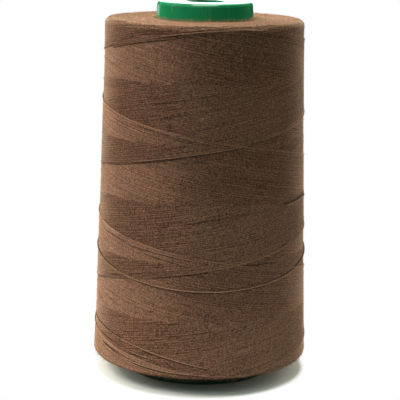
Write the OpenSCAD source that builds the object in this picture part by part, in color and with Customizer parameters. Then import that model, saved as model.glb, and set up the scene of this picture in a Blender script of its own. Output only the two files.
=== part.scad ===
// Cone of cross-wound sewing thread: a hollow moulded core with its winding.
// The axis is Z, the open base stands on z = 0 and the front looks along -Y.

/* [Core cone] */
// Length of the core, base to nose
core_length = 145.2; // [125:0.1:170]
// Outer diameter of the core at its open base
core_base_diameter = 58.8; // [54:0.1:64]
// Angle between the core's wall and its axis
core_half_angle = 4.33; // [3:0.01:5.5]
// Thickness of the core's wall, measured across
core_wall = 1.8; // [1.2:0.1:3]
// Radius of the rounded edge round the nose
nose_edge_radius = 1.4; // [0.6:0.1:2]
// Thickness of the plate that closes the nose
nose_plate = 2; // [1.2:0.1:3.5]
// Height of the thicker band inside the open base
base_band_height = 5; // [2:0.5:10]
// How far that band stands in from the wall
base_band_depth = 0.8; // [0.2:0.1:2]

/* [Spindle hole] */
// Diameter of the hole for the spindle
spindle_hole = 15; // [10:0.5:18]
// Length of the guide collar under the nose plate
collar_length = 6; // [2:0.5:15]
// Wall of the guide collar
collar_wall = 1.5; // [1:0.1:2.5]

/* [Winding] */
// Bare core left showing below the winding
base_reveal = 6.2; // [4:0.1:12]
// Bare core left showing above the winding
nose_reveal = 6.5; // [4:0.5:12]
// Diameter of the winding at its base
wound_base_diameter = 85; // [76:0.5:92]
// Diameter of the winding at its top
wound_top_diameter = 77.2; // [66:0.5:84]
// How far the side dips between its built-up ends
side_dip = 0.3; // [0:0.05:1.2]
// Radius of the winding's lower edge
lower_edge_radius = 1.4; // [0.6:0.1:4]
// Radius of the winding's upper edge
upper_edge_radius = 2.6; // [0.6:0.1:5]
// Clearance between the core and the first layer
winding_fit = 0.1; // [0.05:0.01:0.3]

/* [Outer turns] */
// Diameter of the thread
thread_diameter = 0.4; // [0.25:0.01:0.6]
// Depth that the outer turns take from the side
outer_layer = 1; // [0.6:0.1:1.6]
// Passes of the thread along the winding, up and down
passes = 8; // [4:2:8]
// Turns of each pass, before the small lag that spreads them
turns_per_pass = 3; // [2:1:3]
// Gap between an upward pass and a downward pass over it
crossing_gap = 0.5; // [0.45:0.01:0.8]
// Clearance under a thread that lies on another
thread_seat = 0.05; // [0.03:0.01:0.1]

/* [Thread end] */
// Middle height of the loose end's ring above the base
end_height = 47.9; // [35:0.1:80]
// How far the ring tilts up and down from that height
end_tilt = 8.5; // [2:0.1:10]
// Direction of the ring's lowest point, from the front
end_low_angle = 5; // [-180:1:180]
// Length of the ring, in turns
end_turns = 1.125; // [1.05:0.005:1.2]
// How far the ring has climbed after one turn
end_climb = 3; // [2:0.1:6]

/* [Hidden] */
$fn = 96;

// Points of a round edge, and how sharply the side builds up at its ends
edge_steps = 3;
side_steps = 6;
end_sharpness = 8;
// Rings and sides of the thread
loop_rings = 24;
thread_sides = 6;
ring_step = 360 / loop_rings;
// Share of a pass that each reversal rounds off, and the turn it takes to change level
turn_share = 0.05;
level_change = 20;

taper = tan(core_half_angle);
core_base_r = core_base_diameter / 2;
// The wall is measured square to itself, so it is wider across the axis
wall_across = core_wall / cos(core_half_angle);
bore_r = spindle_hole / 2;
plate_underside = core_length - nose_plate;
collar_end = plate_underside - collar_length;

thread_r = thread_diameter / 2;

// Heights of the winding's side, between its round edges, and of its outer turns
wound_top = core_length - nose_reveal;
side_low = base_reveal + lower_edge_radius;
side_high = wound_top - upper_edge_radius;
turns_low = side_low + thread_diameter;
turns_high = side_high - thread_diameter;

// Turns of one pass: the lag spreads the passes evenly round the winding
pass_turns = turns_per_pass - 1 / passes;
// The last downward pass stops where the loose end's ring begins
end_start_height = end_height + end_tilt;
end_start_share = (turns_high - end_start_height) / (turns_high - turns_low);
end_start_angle = end_low_angle + 180;

// The core's outer radius at a height
function core_r(z) = core_base_r - z * taper;

// The winding's outer radius at a height: a straight taper that dips between its ends
function side_r(z) =
    let (t = (z - side_low) / (side_high - side_low))
    (wound_base_diameter + (wound_top_diameter - wound_base_diameter) * t) / 2
        - side_dip * (1 - pow(abs(2 * t - 1), end_sharpness));

// The radius of the plain windings, under the outer turns
function inner_r(z) = side_r(z) - outer_layer;

// Points of a quarter-round edge about a centre, from one angle to another
function edge_arc(centre, radius, from, to) =
    [for (i = [0:edge_steps])
        let (a = from + (to - from) * i / edge_steps)
        centre + radius * [cos(a), sin(a)]];

// The radius of a thread's centre line that clears a surface along its chords
function over(radius, clearance) = (radius + clearance + thread_r) / cos(ring_step / 2);

function unit(v) = v / norm(v);
function ease(x) = let (t = min(1, max(0, x))) t * t * (3 - 2 * t);

// A ramp from 0 to 1 whose ends are rounded over turn_share of it
function round_ramp(x) =
    (x < turn_share ? x * x / (2 * turn_share)
        : x > 1 - turn_share ? 1 - turn_share - (1 - x) * (1 - x) / (2 * turn_share)
        : x - turn_share / 2) / (1 - turn_share);

// The share of a pass at which the rounded ramp reaches a value
function ramp_inverse(y) = y * (1 - turn_share) + turn_share / 2;

// Place on the winding: radius, angle from the front and height
function on_winding(radius, angle, z) = [radius * sin(angle), -radius * cos(angle), z];

// Turns from the first reversal at the base to the loose end, and whole rings that fit them
turns_made = pass_turns * (passes - 1 + ramp_inverse(end_start_share));
turns_rings = floor(turns_made * loop_rings);
first_turn = turns_made - turns_rings / loop_rings;

// Level of the thread: 0 on upward passes, 1 on downward passes, changing round a reversal
function pass_level(turns) =
    let (
        share = turns / pass_turns,
        nearest = round(share),
        past = (share - nearest) * pass_turns * 360,
        change = ease((past + level_change) / (2 * level_change))
    )
    nearest == 0 ? 0 : nearest % 2 == 0 ? 1 - change : change;

// Centre line of the outer turns after a number of turns
function turns_point(turns) =
    let (
        share = turns / pass_turns,
        passed = floor(share),
        along = round_ramp(share - passed),
        rise = passed % 2 == 0 ? along : 1 - along,
        z = turns_low + (turns_high - turns_low) * rise,
        radius = over(inner_r(z), thread_seat)
            + pass_level(turns) * (thread_diameter + crossing_gap),
        angle = end_start_angle + (turns - turns_made) * 360
    )
    on_winding(radius, angle, z);

// Centre line of the loose end's ring at a share of its length
function end_point(share) =
    let (
        turned = share * end_turns * 360,
        angle = end_start_angle + turned,
        z = end_start_height - end_tilt * (1 - cos(turned)) + end_climb * turned / 360,
        rise = ease(turned / (2 * level_change)),
        radius = over(inner_r(z), thread_seat) + thread_diameter + crossing_gap
            + rise * (thread_diameter + thread_seat)
    )
    on_winding(radius, angle, z);

// Outward direction of a point, square to the axis
function outward(p) = unit([p[0], p[1], 0]);

// A point's foot, lifted off the plain windings by a height
function foot(p, lift) =
    let (r = inner_r(p[2]) + thread_seat + lift)
    [outward(p)[0] * r, outward(p)[1] * r, p[2]];

// Path of the outer turns: a straight foot, the turns and a straight end
turns_end = turns_point(turns_made);
turns_end_way = unit(turns_end - turns_point(turns_made - 1 / loop_rings));
turns_start = turns_point(first_turn);
turns_path = concat(
    [foot(turns_start, 0), foot(turns_start, thread_diameter)],
    [for (i = [1:turns_rings - 1]) turns_point(first_turn + i / loop_rings)],
    [turns_end - turns_end_way * thread_diameter, turns_end]);

// Path of the loose end: a straight start on the last turn, the ring and a straight foot
end_rings = round(end_turns * loop_rings);
end_tip = end_point(1);
end_path = concat(
    [turns_end, turns_end + turns_end_way * thread_diameter],
    [for (i = [1:end_rings - 1]) end_point(i / end_rings)],
    [foot(end_tip, thread_diameter), foot(end_tip, 0)]);

// Direction of a path at one of its points
function path_way(path, i) =
    i == 0 ? unit(path[1] - path[0])
        : i == len(path) - 1 ? unit(path[i] - path[i - 1])
        : unit(unit(path[i + 1] - path[i]) + unit(path[i] - path[i - 1]));

// Direction across a wound path, along the surface, taken from the nearest wound stretch
function path_side(path, i) =
    let (
        j = min(len(path) - 4, max(2, i)),
        way = path[j + 1] - path[j - 1]
    )
    unit(cross(outward(path[i]), way - (way * outward(path[i])) * outward(path[i])));

// One ring of a thread's surface
function thread_ring(path, i) =
    let (
        way = path_way(path, i),
        side = path_side(path, i),
        square_side = unit(side - (side * way) * way),
        up = cross(square_side, way)
    )
    [for (k = [0:thread_sides - 1])
        let (a = 360 * k / thread_sides)
        path[i] + thread_r * (cos(a) * up + sin(a) * square_side)];

// A thread swept along a path as one closed tube
module thread(path) {
    last = len(path) - 1;
    n = thread_sides;
    points = [for (i = [0:last]) each thread_ring(path, i)];
    walls = [for (i = [0:last - 1], k = [0:n - 1])
        let (a = i * n + k, b = i * n + (k + 1) % n)
        each [[a, b + n, b], [a, a + n, b + n]]];
    start_cap = [for (k = [1:n - 2]) [0, k, k + 1]];
    end_cap = [for (k = [1:n - 2]) [last * n, last * n + k + 1, last * n + k]];
    polyhedron(points, concat(walls, start_cap, end_cap));
}

// Least gap of a path to itself, measured on points of each stretch between two rings
function least_gap(path) =
    let (last = len(path) - 2, parts = 4)
    min([for (i = [0:last], j = [i + loop_rings - 1:last])
        let (turn = (j - i) % loop_rings)
        if (turn < 2 || turn > loop_rings - 2)
            min([for (a = [0:parts - 1], b = [0:parts - 1])
                norm(path[i] + (path[i + 1] - path[i]) * a / parts
                    - path[j] - (path[j + 1] - path[j]) * b / parts)])
    ]) - thread_diameter;

echo(str("outer_turns: ", round(turns_made * 100) / 100, " turns, least gap to itself ",
    round(least_gap(turns_path) * 1000) / 1000, " mm"));
echo(str("thread_end: ", end_turns, " turns, least gap to itself ",
    round(least_gap(end_path) * 1000) / 1000, " mm"));

// Hollow moulded core, open at the base, with the spindle hole in its nose
module core_cone() {
    // The rounded edge touches the sloping wall and the flat top of the nose
    edge_z = core_length - nose_edge_radius;
    edge_r = core_r(edge_z) - nose_edge_radius / cos(core_half_angle);
    band_r = core_r(base_band_height) - wall_across;
    color([0.14, 0.52, 0.31])
    rotate_extrude()
    polygon(concat(
        [[bore_r, core_length], [bore_r, collar_end],
            [bore_r + collar_wall, collar_end], [bore_r + collar_wall, plate_underside],
            [core_r(plate_underside) - wall_across, plate_underside],
            [band_r, base_band_height],
            [band_r - base_band_depth, base_band_height - base_band_depth],
            [band_r - base_band_depth, 0], [core_base_r, 0]],
        edge_arc([edge_r, edge_z], nose_edge_radius, core_half_angle, 90)));
}

// Plain windings between the core and the outer turns
module inner_windings() {
    low_r = inner_r(side_low) - lower_edge_radius;
    high_r = inner_r(side_high) - upper_edge_radius;
    color([0.42, 0.3, 0.23])
    rotate_extrude()
    polygon(concat(
        [[core_r(wound_top) + winding_fit, wound_top],
            [core_r(base_reveal) + winding_fit, base_reveal]],
        edge_arc([low_r, side_low], lower_edge_radius, -90, 0),
        [for (i = [1:side_steps - 1])
            // Closer points near the ends, where the side curves most
            let (z = side_low + (side_high - side_low) * (1 - cos(180 * i / side_steps)) / 2)
            [inner_r(z), z]],
        edge_arc([high_r, side_high], upper_edge_radius, 0, 90)));
}

// Outer layer of crossing turns: one unbroken thread
module outer_turns() {
    color([0.5, 0.36, 0.27])
    thread(turns_path);
}

// The thread's loose end, once round the winding in a tilted ring
module thread_end() {
    color([0.58, 0.42, 0.31])
    thread(end_path);
}

core_cone();
inner_windings();
outer_turns();
thread_end();
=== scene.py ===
import math

import bpy
from mathutils import Matrix, Vector


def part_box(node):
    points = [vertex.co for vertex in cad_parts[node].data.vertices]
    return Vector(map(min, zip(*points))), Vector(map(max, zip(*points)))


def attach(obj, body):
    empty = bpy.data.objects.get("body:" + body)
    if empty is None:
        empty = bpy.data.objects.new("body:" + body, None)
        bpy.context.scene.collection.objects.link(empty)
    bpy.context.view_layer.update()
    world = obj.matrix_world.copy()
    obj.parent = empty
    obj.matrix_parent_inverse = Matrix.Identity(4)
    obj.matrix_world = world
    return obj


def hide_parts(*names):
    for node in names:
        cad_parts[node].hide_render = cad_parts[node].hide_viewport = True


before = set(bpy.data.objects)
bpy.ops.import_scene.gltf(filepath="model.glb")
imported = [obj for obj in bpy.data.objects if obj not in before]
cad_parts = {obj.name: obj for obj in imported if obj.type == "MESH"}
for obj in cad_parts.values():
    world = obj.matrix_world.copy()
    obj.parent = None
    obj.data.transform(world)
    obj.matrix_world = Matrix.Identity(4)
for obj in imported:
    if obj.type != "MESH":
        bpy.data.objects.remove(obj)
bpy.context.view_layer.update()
fullTurn = 2.0 * math.pi
print("frame loaded")


class Field:
    # one wire of a node tree, so that a rule can be written as plain arithmetic
    def __init__(self, tree, socket):
        self.tree = tree
        self.socket = socket

    def made(self, operation, *values):
        node = self.tree.nodes.new("ShaderNodeMath")
        node.operation = operation
        for place, value in zip(node.inputs, values):
            plug(self.tree, place, value)
        return Field(self.tree, node.outputs[0])

    def __add__(self, other):
        return self.made("ADD", self, other)

    def __radd__(self, other):
        return self.made("ADD", other, self)

    def __sub__(self, other):
        return self.made("SUBTRACT", self, other)

    def __rsub__(self, other):
        return self.made("SUBTRACT", other, self)

    def __mul__(self, other):
        return self.made("MULTIPLY", self, other)

    def __rmul__(self, other):
        return self.made("MULTIPLY", other, self)

    def __truediv__(self, other):
        return self.made("DIVIDE", self, other)

    def __neg__(self):
        return self.made("MULTIPLY", self, -1.0)

    def run(self, operation, *more):
        return self.made(operation, self, *more)

    def clamped(self, low, high):
        return self.run("MAXIMUM", low).run("MINIMUM", high)

    def eased(self):
        part = self.clamped(0.0, 1.0)
        return part * part * (3.0 - 2.0 * part)


def plug(tree, place, value):
    if isinstance(value, Field):
        value = value.socket
    if isinstance(value, bpy.types.NodeSocket):
        tree.links.new(value, place)
    else:
        place.default_value = value


def addNode(tree, kind, inputs=None, **settings):
    node = tree.nodes.new(kind)
    for name, value in settings.items():
        setattr(node, name, value)
    for name, value in (inputs or {}).items():
        plug(tree, node.inputs[name], value)
    return node


def addSockets(tree, inputs, outputs):
    for name, value in inputs.items():
        kind = {int: "Int", float: "Float", str: "Material", tuple: "Color"}[type(value)]
        socket = tree.interface.new_socket(name, in_out="INPUT", socket_type="NodeSocket" + kind)
        if kind != "Material":
            socket.default_value = value
    for name, kind in outputs.items():
        tree.interface.new_socket(name, in_out="OUTPUT", socket_type="NodeSocket" + kind)


def vector(tree, x, y, z):
    return addNode(tree, "ShaderNodeCombineXYZ", {"X": x, "Y": y, "Z": z}).outputs[0]


def storeFloat(tree, geometry, name, value):
    return addNode(tree, "GeometryNodeStoreNamedAttribute",
                   {"Geometry": geometry, "Name": name, "Value": value}, domain="POINT").outputs[0]


def linked(name, data):
    thing = bpy.data.objects.new(name, data)
    bpy.context.scene.collection.objects.link(thing)
    return thing


def newMaterial(name):
    material = bpy.data.materials.new(name)
    material.use_nodes = True
    return material, material.node_tree, material.node_tree.nodes["Principled BSDF"]


def settle(piece, node):
    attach(piece, "root")
    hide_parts(node)
    print(piece.name, len(piece.data.polygons), [round(c, 4) for c in piece.dimensions])


def plainMesh(name, tree, values, material):
    # runs a geometry tree with these values and keeps its result as a plain mesh
    holder = linked(name + "Rule", bpy.data.meshes.new(name + "Rule"))
    modifier = holder.modifiers.new("rule", "NODES")
    modifier.node_group = tree
    given = {**values, "Material": material}
    for item in tree.interface.items_tree:
        if item.in_out == "INPUT" and item.name in given:
            modifier[item.identifier] = given[item.name]
    evaluated = holder.evaluated_get(bpy.context.evaluated_depsgraph_get())
    mesh = bpy.data.meshes.new_from_object(evaluated)
    mesh.name = name
    bpy.data.objects.remove(holder)
    return linked(name, mesh)


def joined(name, pieces):
    # the first piece takes up the meshes of the others
    with bpy.context.temp_override(active_object=pieces[0], object=pieces[0],
                                   selected_objects=pieces, selected_editable_objects=pieces):
        bpy.ops.object.join()
    pieces[0].name = pieces[0].data.name = name
    return pieces[0]


# thread: plies and fibres along each strand, under a tone that the strand's rule gives

threadLook = {
    "Colour": (0.2575, 0.128, 0.0725, 1.0),
    "Twist": 0.0013,            # length of one turn of the plies
    "Plies": 2.0,
    "Ply Shift": 9.0,           # how far the tone moves the plies, so that strands differ
    "Ply Depth": 0.6,
    "Tone Depth": 0.245,
    "Fibres": 700.0,            # how often fibres change along a strand and round it
    "Fibres Round": 2.0,
    "Fibre Shift": 40.0,
    "Fibre Share": 0.7,
    "Specks": 1700.0,           # spots finer than a strand
    "Speck Share": 1.75,
    "Fibre Depth": 1.95,        # of fibres and specks together
    "Darkest": 0.25,
    "Warm Clouds": 110.0,       # where the colour turns redder or greener
    "Warm Spots": 500.0,
    "Spot Share": 0.4,
    "Warmth": 0.15,
    "Pale Warmth": 0.02,        # pale strands are less red
    "Blue Share": 0.5,          # how much less blue warm places have
}
threadSurface = {
    "Roughness": 0.6,
    "Specular IOR Level": 0.06,
    "Sheen Roughness": 0.32,
    "Sheen Tint": (1.0, 0.82, 0.55, 1.0),
}


def threadColours():
    # one strand's colour, from how far along and round it a point lies and from its tone
    tree = bpy.data.node_groups.new("threadColours", "ShaderNodeTree")
    addSockets(tree, {**threadLook, "Shade": 1.0}, {"Color": "Color"})
    source = addNode(tree, "NodeGroupInput")

    def given(name):
        return Field(tree, source.outputs[name])

    def attribute(name):
        return Field(tree, addNode(tree, "ShaderNodeAttribute", attribute_name=name).outputs["Fac"])

    along, around, tone = attribute("along"), attribute("around"), attribute("tone")
    objectPlace = addNode(tree, "ShaderNodeTexCoord").outputs["Object"]

    def noise(scale, detail, place=objectPlace):
        node = addNode(tree, "ShaderNodeTexNoise", {"Vector": place, "Scale": scale,
                                                   "Detail": detail})
        return Field(tree, node.outputs["Fac"]) - 0.5

    # plies wound round each other, painted darker in the grooves between them and paler on the crests,
    # as shade and light fall there
    plyShade = ((along / given("Twist") + around * given("Plies") + tone * given("Ply Shift"))
           * fullTurn).run("SINE")
    # fibres run along the strand, so they are longer than they are wide
    fibrePlace = vector(tree, along * given("Fibres"), around * given("Fibres Round"),
                        tone * given("Fibre Shift"))
    fibre = (noise(1.0, 3.0, fibrePlace) * given("Fibre Share")
             + noise(given("Specks"), 2.0) * given("Speck Share"))
    light = (1.0 + plyShade * given("Ply Depth") + tone * given("Tone Depth")
             + fibre * given("Fibre Depth"))
    light = light.run("MAXIMUM", given("Darkest")) * given("Shade")
    warm = ((noise(given("Warm Clouds"), 2.0) + noise(given("Warm Spots"), 1.0) * given("Spot Share"))
            * given("Warmth") - tone * given("Pale Warmth"))
    scale = vector(tree, light * (1.0 + warm), light, light * (1.0 - warm * given("Blue Share")))
    colour = addNode(tree, "ShaderNodeVectorMath", {0: given("Colour"), 1: scale},
                     operation="MULTIPLY")
    addNode(tree, "NodeGroupOutput", {"Color": colour.outputs[0]})
    return tree


def threadMaterial(name, shade, sheen):
    material, tree, shader = newMaterial(name)
    colours = addNode(tree, "ShaderNodeGroup", node_tree=strandColours)
    plug(tree, colours.inputs["Shade"], shade)
    plug(tree, shader.inputs["Base Color"], colours.outputs["Color"])
    for socket, value in {**threadSurface, "Sheen Weight": sheen}.items():
        plug(tree, shader.inputs[socket], value)
    return material


strandColours = threadColours()
brownThread = threadMaterial("brownThread", shade=1.0, sheen=0.4)
# a darker copy of the thread, painted shade for strands that lie in the shade of their neighbours
paintedShadeThread = threadMaterial("paintedShadeThread", shade=0.35, sheen=0.0)
print("thread materials made")


# the winding's own shape; its ends come from the frame

windingLow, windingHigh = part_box("inner_windings")
winding = {
    "Top": windingHigh[2],
    "Length": windingHigh[2] - windingLow[2],
    "Top Radius": 0.0386,
    "Base Radius": 0.0425,
    "Side Dip": 0.0003,
    "End Sharpness": 8.0,
    "Upper Edge": 0.0021,
    "Lower Edge": 0.0014,
}


def sideOf(given, depth):
    # the side's radius at a depth below the top, inside a node tree
    upper, lower = given("Upper Edge"), given("Lower Edge")
    share = ((depth - upper) / (given("Length") - upper - lower)).clamped(0.0, 1.0)
    straight = given("Top Radius") + (given("Base Radius") - given("Top Radius")) * share
    dip = given("Side Dip") * (1.0 - (share * 2.0 - 1.0).run("ABSOLUTE").run(
        "POWER", given("End Sharpness")))
    nearTop = (upper - depth).clamped(0.0, upper)
    nearBase = (lower - given("Length") + depth).clamped(0.0, lower)
    return (straight - dip - upper + (upper * upper - nearTop * nearTop).run("SQRT")
            - lower + (lower * lower - nearBase * nearBase).run("SQRT"))


def sideRadius(depth):
    # the same radius as a number
    upper, lower, length = winding["Upper Edge"], winding["Lower Edge"], winding["Length"]
    share = min(1, max(0, (depth - upper) / (length - upper - lower)))
    radius = winding["Top Radius"] * (1 - share) + winding["Base Radius"] * share
    dip = winding["Side Dip"] * (1 - abs(2 * share - 1) ** winding["End Sharpness"])
    nearTop = min(upper, max(0, upper - depth))
    nearBase = min(lower, max(0, lower - (length - depth)))
    return (radius - dip - upper + math.sqrt(upper ** 2 - nearTop ** 2)
            - lower + math.sqrt(lower ** 2 - nearBase ** 2))


# strands: every tree below places points by a rule, and the rest is the same for all

strandSockets = {"Strands": 10, "Samples": 10, "Sides": 5, "Diameter": 0.0003, "Seed": 0, "Tip": 1.0}
facingFront = {"start": 0.6, "fade": 0.25}    # cosines of the angle from the front


class Strands:
    def __init__(self, tree, source):
        self.tree = tree
        self.source = source
        index = Field(tree, addNode(tree, "GeometryNodeInputIndex").outputs[0])
        samples = self.given("Samples")
        self.row = (index / samples).run("FLOOR")
        self.sample = index - self.row * samples
        self.share = self.sample / (samples - 1.0)

    def given(self, name):
        return Field(self.tree, self.source.outputs[name])

    def randomOf(self, identity, low, high, offset):
        # inputs 2 and 3 and output 1 are those of a plain number
        seed = self.given("Seed") + float(offset)
        node = addNode(self.tree, "FunctionNodeRandomValue",
                       {2: low, 3: high, "ID": identity, "Seed": seed})
        return Field(self.tree, node.outputs[1])

    def noise(self, x, y, z):
        # three smooth random values from -1 to 1; fixed numbers in the place that a rule gives
        # only keep one noise apart from another
        node = addNode(self.tree, "ShaderNodeTexNoise", {"Vector": vector(self.tree, x, y, z),
                                                         "Scale": 1.0, "Detail": 2.0})
        parts = addNode(self.tree, "ShaderNodeSeparateXYZ", {0: node.outputs["Color"]})
        return [(Field(self.tree, parts.outputs[i]) - 0.5) * 2.0 for i in range(3)]

    def seenFlat(self, turns):
        # 1 where a strand faces the front, 0 from the sides round to the back
        facing = (turns * fullTurn).run("COSINE")
        return ((facing - facingFront["start"]) / facingFront["fade"]).eased()

    def onRadius(self, radius, turns, height):
        angle = turns * fullTurn
        return vector(self.tree, radius * angle.run("SINE"), -(radius * angle.run("COSINE")), height)


def strandTree(name, sockets, rule):
    tree = bpy.data.node_groups.new(name, "GeometryNodeTree")
    addSockets(tree, {**strandSockets, **sockets, "Material": ""}, {"Geometry": "Geometry"})
    source = addNode(tree, "NodeGroupInput")
    strands = Strands(tree, source)
    place, tone = rule(strands)
    points = addNode(tree, "GeometryNodePoints", {"Count": strands.given("Strands")
                                                  * strands.given("Samples"), "Position": place})
    toned = storeFloat(tree, points.outputs[0], "tone", tone)
    curves = addNode(tree, "GeometryNodePointsToCurves", {"Points": toned, "Weight": strands.sample,
                                                          "Curve Group ID": strands.row})
    upright = addNode(tree, "GeometryNodeSetCurveNormal", {"Curve": curves.outputs[0]}, mode="Z_UP")
    spline = addNode(tree, "GeometryNodeSplineParameter")
    curve = storeFloat(tree, upright.outputs[0], "along", spline.outputs["Length"])
    circle = addNode(tree, "GeometryNodeCurvePrimitiveCircle",
                     {"Resolution": strands.given("Sides"), "Radius": strands.given("Diameter") * 0.5})
    corner = Field(tree, addNode(tree, "GeometryNodeInputIndex").outputs[0])
    profile = storeFloat(tree, circle.outputs[0], "around", corner / strands.given("Sides"))
    taper = 1.0 - Field(tree, spline.outputs["Factor"]) * (1.0 - strands.given("Tip"))
    tube = addNode(tree, "GeometryNodeCurveToMesh", {"Curve": curve, "Profile Curve": profile,
                                                    "Scale": taper, "Fill Caps": True})
    smooth = addNode(tree, "GeometryNodeSetShadeSmooth", {"Geometry": tube.outputs[0]})
    real = addNode(tree, "GeometryNodeRealizeInstances", {0: smooth.outputs[0]})
    finish = addNode(tree, "GeometryNodeSetMaterial", {"Geometry": real.outputs[0],
                                                      "Material": source.outputs["Material"]})
    addNode(tree, "NodeGroupOutput", {"Geometry": finish.outputs[0]})
    return tree


# the crossing turns on the side

crossing = {
    "Strands": 59,              # in one piece
    "Samples": 260,             # points along one pass
    "Sides": 6,
    "Diameter": 0.00027,
    "All Strands": 177,         # side by side across one turn's rise
    "Pitch": 0.04472,           # rise of one turn
    "Jitter": 0.3,              # how far a strand lies off its even place, in strands
    "Layer Rise": 0.00013,      # what one layer adds to the radius
    "Middle Layer": 0.9,        # the layer that lies on the winding's own shape
    "Blend": 0.03,              # how softly a strand dives under the other layer
    "Turn Length": 0.005,       # how long a reversal takes
    "Turn Spread": 0.0022,      # how far reversals differ in height
    "Base Spread": 0.6,         # share of it at the base
    "Wander": 0.00008,
    "Wander Pace": 0.055,
    "Lift": 0.00002,
    "Proud Share": 0.04,        # strands that stand out or sink in, and by how much
    "Proud Lift": 0.00008,
    "Recent": 6.0,              # how soon such strands grow rare behind the newest one
    "Recent Gain": 5.0,         # and how many more of them there are beside it
    "Edge Lift": 0.00028,       # the newest strand's own lift
    "Edge Strands": 1.1,        # how soon it fades from strand to strand
    "Streaks": 0.7,
    "Streak Pace": 0.11,
    "Group": 2.9,               # strands lie side by side in small groups
    "Group Depth": 1.7,
    "Group Drift": 1.5,
    "Group Pace": 0.06,
    "Random Tone": 0.4,
    # painted light and shade: proud strands and the newest one are paler, sunk ones darker, as light
    # falls on them
    "Proud Highlight": 0.7,
    "Sunk Shade": 1.2,
    "Edge Highlight": 1.5,
}
sheenAlike = {
    # where round the winding the two directions' painted sheen looks alike: turn, from and to which
    # cosine of the angle from there, and how much
    "front": (0.055, 0.72, 0.95, 1.45),
    "left": (-0.217, 0.9, 1.03, 1.0),
    "right": (0.2, 0.93, 1.0, 0.3),
}
newest = {"falling": 0.04127, "rising": 0.04625}    # depth of the newest strand at the front
# each way's tone is painted sheen: falling strands catch the light and are paler, rising ones darker
ways = {
    "falling": {"Direction": 1.0, "Own Edge": newest["falling"], "Other Edge": newest["rising"],
                "Tone": 1.0, "Seed": 5},
    "rising": {"Direction": -1.0, "Own Edge": newest["rising"], "Other Edge": newest["falling"],
               "Tone": -1.0, "Seed": 3},
}


def crossingRule(strands):
    given = strands.given
    strand = strands.row + given("First Strand")
    pitch, direction, length = given("Pitch"), given("Direction"), given("Length")

    # where the pass turns back at each end, and the depth it would have with sharp turns
    turn = given("Turn Length")
    topTurn = strands.randomOf(strand, 0.0, 1.0, 1) * given("Turn Spread")
    baseTurn = strands.randomOf(strand, 0.0, 1.0, 2) * given("Turn Spread") * given("Base Spread")
    start = topTurn - turn * 0.5
    end = length - baseTurn + turn * 0.5
    sharp = start + (end - start) * strands.share

    def roundedFrom(value, limit):
        past = (value - limit + turn * 0.5).clamped(0.0, turn)
        beyond = (value - limit - turn * 0.5).run("MAXIMUM", 0.0)
        return limit + past * past / (2.0 * turn) + beyond

    depth = roundedFrom(sharp, topTurn)
    depth = length - roundedFrom(length - depth, baseTurn)

    # the angle follows from the strand's age: its lag behind the newest strand, in turns
    jitter = strands.randomOf(strand, -given("Jitter"), given("Jitter"), 3)
    age = (strand + jitter + 0.5) / given("All Strands")
    turns = direction * (sharp - given("Own Edge") - direction * pitch * age) / pitch
    otherAge = (-direction * (depth - given("Other Edge") + direction * turns * pitch)
                / pitch).run("FRACT")
    under = ((age - otherAge) / given("Blend") + 0.5).eased()

    wander, lift = strands.noise(strands.sample * given("Wander Pace"), strand * 7.31,
                                 direction * 3.7)[:2]
    streak, patch = strands.noise(strands.sample * given("Streak Pace"), strand * 0.42,
                                  direction * 9.3)[:2]
    drift = strands.noise(strands.sample * given("Group Pace"), strand * 0.07, direction * 5.1)[0]
    group = ((strand / given("Group") + drift * given("Group Drift")) * fullTurn).run("SINE")

    # strands that stand out or sink in, most of them near the newest one
    recent = (1.0 - age * given("Recent")).run("MAXIMUM", 0.0)
    chance = given("Proud Share") * (1.0 + recent * given("Recent Gain"))
    proud = strands.randomOf(strand, 0.0, 1.0, 4).run("LESS_THAN", chance)
    sunk = strands.randomOf(strand, 0.0, 1.0, 6).run("LESS_THAN", chance)
    first = (-strand / given("Edge Strands")).run("EXPONENT")
    raised = (lift * given("Lift") + (proud - sunk) * given("Proud Lift")
              + first * given("Edge Lift"))
    radius = (sideOf(given, depth) - given("Diameter") * 0.5
              - given("Layer Rise") * (age + otherAge + under - given("Middle Layer")) + raised)
    height = given("Top") - depth + wander * given("Wander")

    # painted sheen: strands that slope the same way share a paler or darker tone, least where they are
    # seen end to end
    apart = 1.0
    for place, low, high, amount in sheenAlike.values():
        facing = ((turns - place) * fullTurn).run("COSINE")
        apart = apart * (1.0 - ((facing - low) / (high - low)).eased() * amount)
    # the tone also paints proud strands and the newest one paler and sunk ones darker, as light falls on
    # them
    tone = (given("Tone") * apart + strands.randomOf(strand, -1.0, 1.0, 5) * given("Random Tone")
            + (streak + patch) * given("Streaks") + group * given("Group Depth")
            + proud * given("Proud Highlight") - sunk * given("Sunk Shade") + first * given("Edge Highlight"))
    return strands.onRadius(radius, turns, height), tone


crossingTree = strandTree("crossingTurns", {
    **crossing, **winding, **ways["falling"], "First Strand": 0}, crossingRule)

for way, course in ways.items():
    for part in range(crossing["All Strands"] // crossing["Strands"]):
        values = {**crossing, **winding, **course, "First Strand": crossing["Strands"] * part}
        settle(plainMesh(f"turns_{way}_{part + 1}", crossingTree, values, brownThread), "outer_turns")


# spiral turns that the two end faces show

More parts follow.
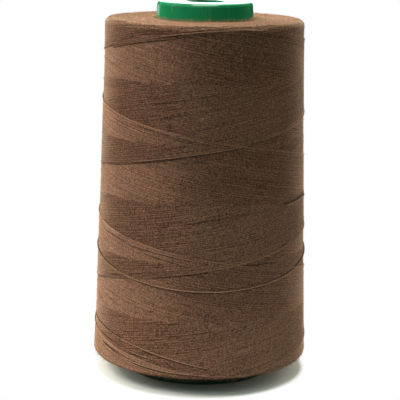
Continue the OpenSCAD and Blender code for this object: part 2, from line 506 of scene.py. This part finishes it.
faceTurns = {
    "Strands": 1,
    "Sides": 6,
    "Diameter": 0.00028,
    "Spacing": 0.00026,
    "Turn Samples": 110.0,
    "Wander": 0.0002,
    "Lift": 0.00016,
    "Waves": 2.2,               # how often turns wander, round the face and from turn to turn
    "Wave Step": 5.3,
    "Sunk": 0.00025,
    "Edge Reach": 1.4,          # how far round the edge the turns may go, as an angle
    "Streaks": 0.8,
    "Clumps": 60.0,             # felted spots round the face, and how much they differ
    "Clump Step": 0.25,
    "Clump Depth": 3.6,
}
overEdge = 0.35                 # share of the edge that the spiral still covers
faces = {
    # the core's radius there, the end's height, the way it faces, its outer radius and edge, and its
    # tone, painted light that makes the top face paler as the light from above falls on it
    "top": {"Inner Radius": 0.0194, "End Height": winding["Top"], "Facing": 1.0,
            "Outer Radius": winding["Top Radius"], "Edge": winding["Upper Edge"], "Tone": 2.2},
    "base": {"Inner Radius": 0.0291, "End Height": winding["Top"] - winding["Length"],
             "Facing": -1.0, "Outer Radius": winding["Base Radius"],
             "Edge": winding["Lower Edge"], "Tone": 0.0},
}


def faceRule(strands):
    given = strands.given
    turns = strands.sample / given("Turn Samples")
    angle = turns * fullTurn

    def roundTheFace(times, step):
        return strands.noise(angle.run("SINE") * given(times), angle.run("COSINE") * given(times),
                             turns * given(step))

    wander, lift, shade = roundTheFace("Waves", "Wave Step")
    clump = roundTheFace("Clumps", "Clump Step")[0]
    edge = given("Edge")
    flat = given("Outer Radius") - edge
    reach = given("Inner Radius") + turns * given("Spacing") + wander * given("Wander")
    past = ((reach - flat) / edge).clamped(0.0, given("Edge Reach"))
    radius = reach.run("MINIMUM", flat) + (edge - given("Sunk")) * past.run("SINE")
    drop = (edge - given("Sunk")) * (1.0 - past.run("COSINE")) + given("Sunk")
    height = given("End Height") + given("Facing") * (lift * given("Lift") - drop)
    # painted light: the top face's tone makes it paler where the light from above falls, with felted
    # clumps on it
    pale = (given("Tone") + clump * given("Clump Depth")) * (1.0 - past).run("MAXIMUM", 0.0)
    return strands.onRadius(radius, turns, height), shade * given("Streaks") + pale


faceTree = strandTree("faceTurns", {**faceTurns, **faces["top"]}, faceRule)

for end, place in faces.items():
    width = place["Outer Radius"] + place["Edge"] * overEdge - place["Inner Radius"]
    samples = int(width / faceTurns["Spacing"] * faceTurns["Turn Samples"])
    piece = plainMesh(f"{end}_face_turns", faceTree,
                      {**faceTurns, **place, "Samples": samples}, brownThread)
    settle(piece, "inner_windings")


# the thread's loose end, a tilted ring round the winding

looseEnd = {
    "Strands": 1,
    "Samples": 460,
    "Sides": 8,
    "Diameter": 0.0004,
    "Start Angle": 188.0,
    "Turned": 405.0,
    "Start Height": 0.0572,
    "Tilt": 0.0092,
    "Climb": 0.003,
    "Rest": 0.00004,
    "Drop": 0.0,
    "Tuck": 0.0005,
    "Start Tuck": 40.0,         # each end goes under over one part in so many
    "End Tuck": 60.0,
    "Wander": 0.00012,
    "Wander Pace": 0.045,
    "Tone": 3.4,
    "Side Tone": 0.4,           # share of the tone all round, and what the front adds: painted light, palest in front
    "Front Tone": 0.6,
    "Streaks": 0.6,
}
looseShadowLine = {"Drop": 0.0004, "Rest": -0.0001, "Tone": 0.0}    # a painted shadow: its dark line, below it in front


def looseRule(strands):
    given = strands.given
    turned = strands.share * given("Turned") / 360.0
    turns = given("Start Angle") / 360.0 + turned
    front = strands.seenFlat(turns)
    wander, _, shade = strands.noise(strands.sample * given("Wander Pace"), 2.2, 6.1)
    # the drop puts the painted shadow line below the end in front and above it at the sides
    height = (given("Start Height") - given("Tilt") * (1.0 - (turned * fullTurn).run("COSINE"))
              + given("Climb") * turned + wander * given("Wander") - given("Drop") * (front * 2.0 - 1.0))
    start = (1.0 - strands.share * given("Start Tuck")).eased()
    end = (strands.share * given("End Tuck") - (given("End Tuck") - 1.0)).eased()
    radius = (sideOf(given, given("Top") - height) + given("Diameter") * 0.5 + given("Rest")
              - given("Tuck") * start.run("MAXIMUM", end))
    # painted light: the end is paler all round and palest in front, where the light falls on it
    tone = given("Tone") * (given("Side Tone") + front * given("Front Tone"))
    return strands.onRadius(radius, turns, height), shade * given("Streaks") + tone


looseTree = strandTree("looseEnd", {**looseEnd, **winding}, looseRule)
settle(plainMesh("loose_end", looseTree, {**looseEnd, **winding}, brownThread), "thread_end")
settle(plainMesh("loose_end_painted_shadow", looseTree, {**looseEnd, **winding, **looseShadowLine},
                 paintedShadeThread), "thread_end")


# strands that lie loose over the rest, painted paler, or sunk between them and painted dark as shade,
# and painted shadow lines beside the loose ones

strayTurns = {
    "Strands": 1,
    "Samples": 90,
    "Sides": 6,
    "Diameter": 0.0003,
    "Fade": 0.12,
    "Sunk": 0.0004,
    "Wander": 0.00008,
    "Wander Pace": 0.07,
    "Side Tone": 0.5,           # share of the tone all round, and what the front adds: painted light, palest in front
    "Front Tone": 0.5,
    "Streaks": 0.5,
}
crease = {
    # a painted shadow: the dark line beside a raised strand, below it in front and above it at the sides
    "Diameter": 0.00032,
    "Gap Diameter": 0.00009,
    "Drop": 0.00038,
    "Sunk": 0.00005,
}
strays = {
    # angle and depth (mm) where each starts and ends, depth half way, lift (mm), tone; a tone above
    # nothing paints a raised strand paler, and a tone below nothing is a sunk strand painted dark as
    # shade, wider the lower it is
    "fan_gap_1": ((-67, 10.9), (-1, 3.5), 6.7, 0.09, -3.0),
    "fan_gap_2": ((-48, 6.9), (-10, 3.3), 5.0, 0.09, -2.6),
    "fan_gap_3": ((-39, 4.4), (-5, 2.4), 3.1, 0.09, -2.6),
    "fan_gap_4": ((-36, 2.8), (3, 2.2), 2.1, 0.09, -2.4),
    "fan_1": ((-49, 7.9), (-25, 5.1), 6.6, 0.18, 1.6),
    "fan_2": ((-39, 5.2), (-13, 3.6), 3.9, 0.18, 1.4),
    "fan_gap_5": ((46, 2.9), (74, 5.6), 4.2, 0.09, -2.0),
    "upper_edge": ((-78, 33.0), (11, 43.8), 37.9, 0.24, 3.2),
    "upper_gap_1": ((-61, 36.1), (-20, 41.3), 39.0, 0.09, -2.8),
    "upper_gap_2": ((-33, 29.6), (11, 24.1), 26.9, 0.09, -2.8),
    "middle_edge_1": ((-46, 52.2), (30, 43.3), 47.4, 0.26, 5.0),
    "middle_gap_1": ((-66, 54.9), (-6, 47.7), 51.7, 0.09, -3.0),
    "middle_edge_2": ((-70, 80.8), (8, 87.9), 83.8, 0.24, 3.6),
    "middle_edge_3": ((-34, 84.9), (-4, 89.4), 86.7, 0.22, 3.0),
    "middle_gap_2": ((-68, 79.4), (-13, 84.1), 81.5, 0.09, -2.6),
    "middle_gap_3": ((-28, 94.8), (7, 90.9), 92.6, 0.09, -2.6),
    "middle_gap_4": ((8, 88.6), (48, 89.4), 89.1, 0.09, -2.4),
    "middle_gap_5": ((-12, 73.5), (30, 68.9), 71.0, 0.09, -1.8),
    "right_gap": ((47, 83.8), (54, 83.0), 83.4, 0.1, -4.0),
    "crease": ((50, 68.6), (90, 68.5), 68.0, 0.36, 9.0),
    "crease_gap": ((47, 67.8), (90, 67.1), 66.9, 0.14, -6.5),
    "lower_gap_1": ((-25, 112.2), (-6, 111.1), 111.5, 0.09, -2.2),
    "lower_gap_2": ((-19, 116.7), (7, 113.6), 115.2, 0.09, -2.6),
    "lower_gap_3": ((-5, 121.0), (1, 119.9), 120.4, 0.09, -2.6),
    "base_1": ((-86, 117.2), (9, 128.9), 121.6, 0.32, 5.2),
    "base_2": ((-70, 122.0), (-23, 126.1), 123.9, 0.22, 3.0),
    "base_3": ((-68, 124.6), (8, 130.5), 129.0, 0.34, 5.2),
    "base_gap_1": ((-48, 127.6), (4, 130.6), 129.6, 0.09, -4.0),
    "base_gap_2": ((-64, 124.6), (-22, 128.4), 126.9, 0.09, -4.5),
    "base_gap_3": ((-32, 123.3), (-15, 125.4), 124.3, 0.09, -2.8),
    "speck": ((39.2, 114.9), (40.5, 115.2), 115.1, 0.25, 7.0),
}


def strayRule(strands):
    given = strands.given
    share = strands.share
    wander, _, shade = strands.noise(strands.sample * given("Wander Pace"), given("Seed") * 3.3, 1.7)
    turns = (given("Start Angle") + (given("End Angle") - given("Start Angle")) * share) / 360.0
    front = strands.seenFlat(turns)
    # a bow through the depth half way
    bend = (given("Middle Depth") * 2.0 - given("Start Depth") - given("End Depth")) * 2.0
    depth = (given("Start Depth") + (given("End Depth") - given("Start Depth")) * share
             + bend * share * (1.0 - share)) / 1000.0 + wander * given("Wander")
    # the painted shadow line lies below its strand in front and above it at the sides
    depth = depth + given("Drop") * (front * 2.0 - 1.0)
    ends = (share / given("Fade")).run("MINIMUM", (1.0 - share) / given("Fade")).eased()
    radius = (sideOf(given, depth) - given("Diameter") * 0.5 + given("Height") / 1000.0
              - given("Sunk") * (1.0 - ends))
    # painted light: a raised strand is paler all round and palest in front, where the light falls on it
    tone = given("Tone") * ends * (given("Side Tone") + front * given("Front Tone"))
    return strands.onRadius(radius, turns, given("Top") - depth), tone + shade * given("Streaks")


strayTree = strandTree("strayTurn", {
    **strayTurns, **winding, "Start Angle": 0.0, "End Angle": 60.0, "Start Depth": 10.0,
    "Middle Depth": 10.0, "End Depth": 10.0, "Height": 0.1, "Drop": 0.0, "Tone": 0.0}, strayRule)
raised, paintedShadeLines = [], []
for number, (name, stray) in enumerate(strays.items()):
    (startAngle, startDepth), (endAngle, endDepth), middleDepth, height, tone = stray
    course = {**strayTurns, **winding, "Start Angle": float(startAngle), "End Angle": float(endAngle),
              "Start Depth": startDepth, "Middle Depth": middleDepth, "End Depth": endDepth,
              "Height": height, "Tone": max(tone, 0.0), "Seed": 20 + number}
    # a raised strand gets a painted shadow line beside it; a sunk one is painted dark as shade
    if tone > 0.0:
        raised.append(plainMesh(name, strayTree, course, brownThread))
        course.update({"Drop": crease["Drop"], "Height": height - crease["Sunk"] * 1000.0, "Tone": 0.0})
    width = crease["Diameter"] if tone > 0.0 else -tone * crease["Gap Diameter"]
    paintedShadeLines.append(plainMesh(name, strayTree, {**course, "Diameter": width}, paintedShadeThread))
settle(joined("raised_turns", raised), "outer_turns")
settle(joined("painted_shade_turns", paintedShadeLines), "outer_turns")


# fibres that stand off the turns

fuzz = {
    "Strands": 8000,
    "Samples": 4,
    "Sides": 3,
    "Diameter": 0.00006,
    "Tip": 0.3,
    "Shortest": 0.0002,
    "Longest": 0.001,
    "Rarity": 3.0,              # the higher it is, the fewer are long
    "Sunk": 0.0002,
    "Edge Share": 0.3,          # hairs at the lower edge, for each one on the side
    "Edge Place": 0.999,        # share of the length where these stand
    "Edge Fall": 1.2,
    "Out": 1.15,                # how far a hair stands out, and how much it bends back
    "Curl": 0.35,
    "Lean": 1.6,
    "Mean Radius": 0.04,
    "Tone": 2.0,
}


def fuzzRule(strands):
    given = strands.given
    hair, share = strands.row, strands.share
    # even over the side, with a share of the hairs at the lower edge
    spread = strands.randomOf(hair, 0.0, 1.0 + given("Edge Share"), 1)
    atEdge = spread.run("GREATER_THAN", 1.0)
    depth = given("Length") * (spread + (given("Edge Place") - spread) * atEdge)
    turns = strands.randomOf(hair, 0.0, 1.0, 2)
    reach = given("Shortest") + (given("Longest") - given("Shortest")) * strands.randomOf(
        hair, 0.0, 1.0, 3).run("POWER", given("Rarity"))
    lean = strands.randomOf(hair, -given("Lean"), given("Lean"), 4)
    rise = strands.randomOf(hair, -1.0, 1.0, 5)
    radius = (sideOf(given, depth) - given("Sunk")
              + reach * share * (given("Out") - given("Curl") * share))
    height = (given("Top") - depth
              + reach * (rise * share * share - atEdge * share * given("Edge Fall")))
    turned = turns + reach * lean * share * share / (fullTurn * given("Mean Radius"))
    return strands.onRadius(radius, turned, height), strands.randomOf(hair, 0.0, given("Tone"), 6)


fuzzTree = strandTree("fuzz", {**fuzz, **winding}, fuzzRule)
settle(plainMesh("fuzz", fuzzTree, {**fuzz, **winding, "Seed": 11}, brownThread), "outer_turns")

topFuzz = {
    "Strands": 8000,
    "Samples": 4,
    "Sides": 3,
    "Diameter": 0.00008,
    "Tip": 0.3,
    "Inner Radius": 0.0191,
    "Outer Radius": 0.0372,
    "Top": winding["Top"],
    "Sunk": 0.0003,
    "Longest": 0.0012,
    "Shortest Share": 0.4,      # of the longest, and what chance adds
    "Chance Share": 0.6,
    "Curl": 0.3,
    "Spread": 0.7,
    "Mean Radius": 0.03,
    # painted light: the top hairs are paler on the whole, as the light from above falls on them, and
    # differ at random
    "Darkest Tone": -1.0,
    "Palest Tone": 7.0,
    "Collar Share": 0.11,       # hairs that stand against the core's collar, taller, and painted paler as they catch the light
    "Collar Reach": 1.0,
    "Collar Tone": 6.0,
}


def topFuzzRule(strands):
    given = strands.given
    hair, share = strands.row, strands.share
    inner, outer = given("Inner Radius"), given("Outer Radius")
    # even over the ring's area, apart from those at the collar
    apart = strands.randomOf(hair, 0.0, 1.0, 7).run("GREATER_THAN", given("Collar Share"))
    spread = strands.randomOf(hair, 0.0, 1.0, 1) * apart
    radius = (inner * inner + (outer * outer - inner * inner) * spread).run("SQRT")
    turns = strands.randomOf(hair, 0.0, 1.0, 2)
    reach = (given("Longest")
             * (given("Shortest Share") + strands.randomOf(hair, 0.0, given("Chance Share"), 3))
             * (1.0 + given("Collar Reach") * (1.0 - apart)))
    lean = strands.randomOf(hair, -1.0, 1.0, 4) * share * share
    turned = turns + reach * lean / (fullTurn * given("Mean Radius"))
    height = given("Top") - given("Sunk") + reach * share * (1.0 - given("Curl") * share)
    outward = strands.randomOf(hair, -given("Spread"), given("Spread"), 5)
    # painted light from above makes the top hairs paler, and most at the collar
    tone = strands.randomOf(hair, given("Darkest Tone"), given("Palest Tone"), 6)
    return (strands.onRadius(radius + reach * outward * share, turned, height),
            tone + given("Collar Tone") * (1.0 - apart))


topFuzzTree = strandTree("topFuzz", topFuzz, topFuzzRule)
settle(plainMesh("top_fuzz", topFuzzTree, {**topFuzz, "Seed": 17}, brownThread), "inner_windings")


# body under the strands

body = {
    "sideSunk": 0.00055,
    "endSunk": 0.0006,
    "topBore": 0.0193,
    "baseBore": 0.0290,
    "rows": 60,
    "steps": 192,               # round the axis
}


def revolved(name, outline, steps, material):
    # a closed ring of the outline's points, turned round the upright axis
    rows = len(outline)
    verts = [(radius * math.sin(2 * math.pi * i / steps), -radius * math.cos(2 * math.pi * i / steps),
              height) for radius, height in outline for i in range(steps)]
    quads = [(row * steps + i, row * steps + (i + 1) % steps,
              (row + 1) % rows * steps + (i + 1) % steps, (row + 1) % rows * steps + i)
             for row in range(rows) for i in range(steps)]
    mesh = bpy.data.meshes.new(name)
    mesh.from_pydata(verts, [], quads)
    mesh.shade_smooth()
    mesh.materials.append(material)
    return linked(name, mesh)


top, length, endSunk = winding["Top"], winding["Length"], body["endSunk"]
outline = [(body["topBore"], top - endSunk), (body["baseBore"], top - length + endSunk)]
for row in range(body["rows"] + 1):
    # closer rows near both ends, where the side curves most
    depth = length * (1 - (1 - math.cos(math.pi * row / body["rows"])) / 2)
    outline.append((sideRadius(depth) - body["sideSunk"],
                    top - min(length - endSunk, max(endSunk, depth))))
settle(revolved("wound_body", outline, body["steps"], brownThread), "inner_windings")


# green core

greenLook = {
    "colour": (0.012, 0.25, 0.088),
    "footShadeColour": (0.006, 0.06, 0.022),
    "foot": (0.002, 0.012),     # the painted shade at the foot, and its dullness, fade between these heights
    "clouds": 90.0,
    "cloudDepth": 0.2,
    "roughness": 0.16,
    "scuffs": 260.0,
    "scuffStretch": (1.0, 1.0, 0.3),
    "scuffFrom": 0.56,          # how much of the noise counts as a scuff, and how softly
    "scuffFade": 0.12,
    "scuffRough": 0.5,
    "scuffShare": 0.5,
    "footRough": 0.4,
    "grain": 1200.0,
    "grainStrength": 0.2,
    "grainDepth": 0.00002,
    "partingAngle": 28.0,
    "partingWidth": 0.0009,
    "partingGlint": 0.2,
}


def plasticMaterial():
    material, tree, shader = newMaterial("greenPlastic")
    place = addNode(tree, "ShaderNodeTexCoord").outputs["Object"]
    height = Field(tree, addNode(tree, "ShaderNodeSeparateXYZ", {0: place}).outputs[2])

    def noise(scale, detail, stretch=(1.0, 1.0, 1.0)):
        spot = addNode(tree, "ShaderNodeVectorMath", {0: place, 1: stretch}, operation="MULTIPLY")
        node = addNode(tree, "ShaderNodeTexNoise", {"Vector": spot.outputs[0], "Scale": scale,
                                                   "Detail": detail})
        return Field(tree, node.outputs["Fac"])

    # moulded colour with faint clouds, painted darker at the foot, where the winding above shades it
    low, high = greenLook["foot"]
    aboveFoot = ((height - low) / (high - low)).eased()
    # a parting line down two sides, painted pale as a glint
    turn = math.radians(greenLook["partingAngle"])
    aside = addNode(tree, "ShaderNodeVectorMath", {0: place, 1: (math.cos(turn), math.sin(turn), 0.0)},
                    operation="DOT_PRODUCT")
    parting = 1.0 - (Field(tree, aside.outputs["Value"]).run("ABSOLUTE")
                     / greenLook["partingWidth"]).eased()
    shade = (1.0 + (noise(greenLook["clouds"], 3.0) - 0.5) * (greenLook["cloudDepth"] * 2.0)
             + parting * greenLook["partingGlint"])
    colour = [(dirty + (bright - dirty) * aboveFoot) * shade
              for bright, dirty in zip(greenLook["colour"], greenLook["footShadeColour"])]
    plug(tree, shader.inputs["Base Color"], vector(tree, *colour))
    # scuffs dull the gloss
    scuff = ((noise(greenLook["scuffs"], 4.0, greenLook["scuffStretch"]) - greenLook["scuffFrom"])
             / greenLook["scuffFade"]).eased()
    dulled = greenLook["scuffRough"] - greenLook["roughness"]
    plug(tree, shader.inputs["Roughness"],
         greenLook["roughness"] + scuff * dulled * greenLook["scuffShare"]
         + (1.0 - aboveFoot) * greenLook["footRough"])
    bump = addNode(tree, "ShaderNodeBump", {"Height": noise(greenLook["grain"], 2.0),
                                            "Strength": greenLook["grainStrength"],
                                            "Distance": greenLook["grainDepth"]})
    plug(tree, shader.inputs["Normal"], bump.outputs[0])
    return material


greenPlastic = plasticMaterial()
core = bpy.data.objects["core_cone"]
core.data.materials.clear()
core.data.materials.append(greenPlastic)
print("green core dressed")


# camera, light and floor

camera = {
    "place": (-0.00068, -0.5514, 0.182),
    "pitch": 11.806,
    "roll": 0.995,
    "lens": 127.65,
    "sensor": 36.0,
}
eyeData = bpy.data.cameras.new("camera")
eyeData.sensor_width = camera["sensor"]
eyeData.lens = camera["lens"]
eye = linked("camera", eyeData)
pitch, roll = math.radians(camera["pitch"]), math.radians(camera["roll"])
back = Vector((0, -math.cos(pitch), math.sin(pitch)))
levelUp = Vector((0, math.sin(pitch), math.cos(pitch)))
right = Vector((1, 0, 0)) * math.cos(roll) + levelUp * math.sin(roll)
up = levelUp * math.cos(roll) - Vector((1, 0, 0)) * math.sin(roll)
eye.matrix_world = (Matrix.Translation(camera["place"])
                    @ Matrix((right, up, back)).transposed().to_4x4())
bpy.context.scene.camera = eye
print("camera placed")

lightSize = 0.4
litSpot = (0.0, 0.0, 0.07)      # all lamps point here
lights = {
    # place, power, colour, and whether glossy surfaces show it
    "leftHigh": ((-0.634, -0.055, 0.706), 5.0, (1.0, 0.93, 0.97), True),
    "leftLow": ((-0.845, 0.030, 0.378), 0.9, (1.0, 0.93, 0.97), False),
    "frontLeft": ((-0.244, -0.524, 0.759), 1.0, (0.94, 1.05, 1.12), True),
    "top": ((0.000, 0.111, 0.862), 4.4, (0.98, 1.1, 1.02), True),
    "backLeft": ((-0.449, 0.641, 0.236), 9.6, (1.0, 1.0, 0.92), False),
    "backRight": ((0.449, 0.641, 0.236), 4.9, (1.0, 0.86, 0.76), False),
    "right": ((0.682, 0.363, 0.277), 0.8, (1.0, 0.95, 0.9), False),
}
card = {
    # stands low behind on the left, and only gloss shows it, as a streak on the collar
    "place": (-0.224, 0.332, 0.07),
    "size": 0.14,
    "power": 0.07,
    "colour": (1.0, 1.0, 1.0),
}


def addLamp(name, place, size, power, colour):
    data = bpy.data.lights.new(name, "AREA")
    data.size = size
    data.energy = power
    data.color = colour
    lamp = linked(name, data)
    lamp.location = place
    lamp.rotation_euler = (Vector(litSpot) - Vector(place)).to_track_quat("-Z", "Y").to_euler()
    return lamp


for name, (place, power, colour, glossy) in lights.items():
    addLamp(name, place, lightSize, power, colour).visible_glossy = glossy
glossLamp = addLamp("card", **card)
glossLamp.visible_camera = False
glossLamp.visible_diffuse = False
print("lamps placed")

room = {
    "ambient": 0.22,
    "ambientColour": (0.9, 1.16, 1.14, 1),
    "wallHalfWidth": 0.06,      # the wall that gloss shows, as parts of a direction
    "wallSideFade": 0.12,
    "wallFrom": 0.8,
    "wallFade": 0.17,
    "wallStrength": 3.0,
    "wallShare": 0.9,
    "floorHalf": 3.0,
    "floorRoughness": 0.7,
    "floorSpecular": 0.1,
    "floorSeen": (0.9, 0.9, 0.78, 1),
    "leastBounce": 0.03,
    "floorBounce": 0.8,
    "bounceStart": (0.045, 0.055),    # distances between which it grows, and then fades
    "bounceEnd": (0.05, 0.2),
    "shadowReach": (0.0395, 0.0425),
    "shadowCentre": (0.0004, -0.0036, 0.0),
}


def cameraSees(tree):
    path = addNode(tree, "ShaderNodeLightPath")
    return (Field(tree, path.outputs["Is Camera Ray"])
            .run("MAXIMUM", path.outputs["Is Transmission Ray"]))


def mixedColour(tree, share, first, second):
    # inputs 6 and 7 and output 2 are those of a colour
    return addNode(tree, "ShaderNodeMix", {"Factor": share, 6: first, 7: second},
                   data_type="RGBA").outputs[2]


world = bpy.data.worlds.new("paleRoom")
world.use_nodes = True
bpy.context.scene.world = world
tree = world.node_tree
tree.nodes.clear()
# reflections show a pale wall behind and a dim room in front
way = addNode(tree, "ShaderNodeSeparateXYZ",
              {0: addNode(tree, "ShaderNodeTexCoord").outputs["Generated"]})
aside = ((Field(tree, way.outputs[0]).run("ABSOLUTE") - room["wallHalfWidth"])
         / room["wallSideFade"]).eased()
wall = (((Field(tree, way.outputs[1]) - room["wallFrom"]) / room["wallFade"]).eased()
        * (1.0 - aside) * room["wallStrength"])
reflected = Field(tree, addNode(tree, "ShaderNodeLightPath").outputs["Is Glossy Ray"])
strength = room["ambient"] + (wall - room["ambient"]) * room["wallShare"] * reflected
seen = cameraSees(tree)
tint = mixedColour(tree, seen, room["ambientColour"], (1, 1, 1, 1))
sky = addNode(tree, "ShaderNodeBackground",
              {"Color": tint, "Strength": strength + (1.0 - strength) * seen})
addNode(tree, "ShaderNodeOutputWorld", {"Surface": sky.outputs[0]})
print("room made")

half = room["floorHalf"]
floorMesh = bpy.data.meshes.new("floor")
floorMesh.from_pydata([(-half, -half, 0), (half, -half, 0), (half, half, 0), (-half, half, 0)],
                      [], [(0, 1, 2, 3)])
floor = linked("floor", floorMesh)
paleFloor, tree, shader = newMaterial("paleFloor")
seen = cameraSees(tree)
floorPlace = addNode(tree, "ShaderNodeTexCoord").outputs["Object"]


def beyond(reach, centre=(0.0, 0.0, 0.0)):
    near, far = reach
    distance = addNode(tree, "ShaderNodeVectorMath", {0: floorPlace, 1: centre}, operation="DISTANCE")
    return ((Field(tree, distance.outputs["Value"]) - near) / (far - near)).eased()


# the lit patch round the object throws light back, and the camera sees the floor pale
bounce = room["leastBounce"] + (room["floorBounce"] * beyond(room["bounceStart"])
                                * (1.0 - beyond(room["bounceEnd"])))
plug(tree, shader.inputs["Base Color"],
     mixedColour(tree, seen, vector(tree, bounce, bounce, bounce), room["floorSeen"]))
shader.inputs["Roughness"].default_value = room["floorRoughness"]
shader.inputs["Specular IOR Level"].default_value = room["floorSpecular"]
# away from the object's shadow the camera sees plain white
away = beyond(room["shadowReach"], room["shadowCentre"]) * seen
white = addNode(tree, "ShaderNodeEmission", {"Color": (1, 1, 1, 1), "Strength": 1.0})
blend = addNode(tree, "ShaderNodeMixShader", {0: away, 1: shader.outputs[0], 2: white.outputs[0]})
plug(tree, tree.nodes["Material Output"].inputs["Surface"], blend.outputs[0])
floorMesh.materials.append(paleFloor)
print("floor made")

bpy.context.scene.view_settings.view_transform = "Standard"
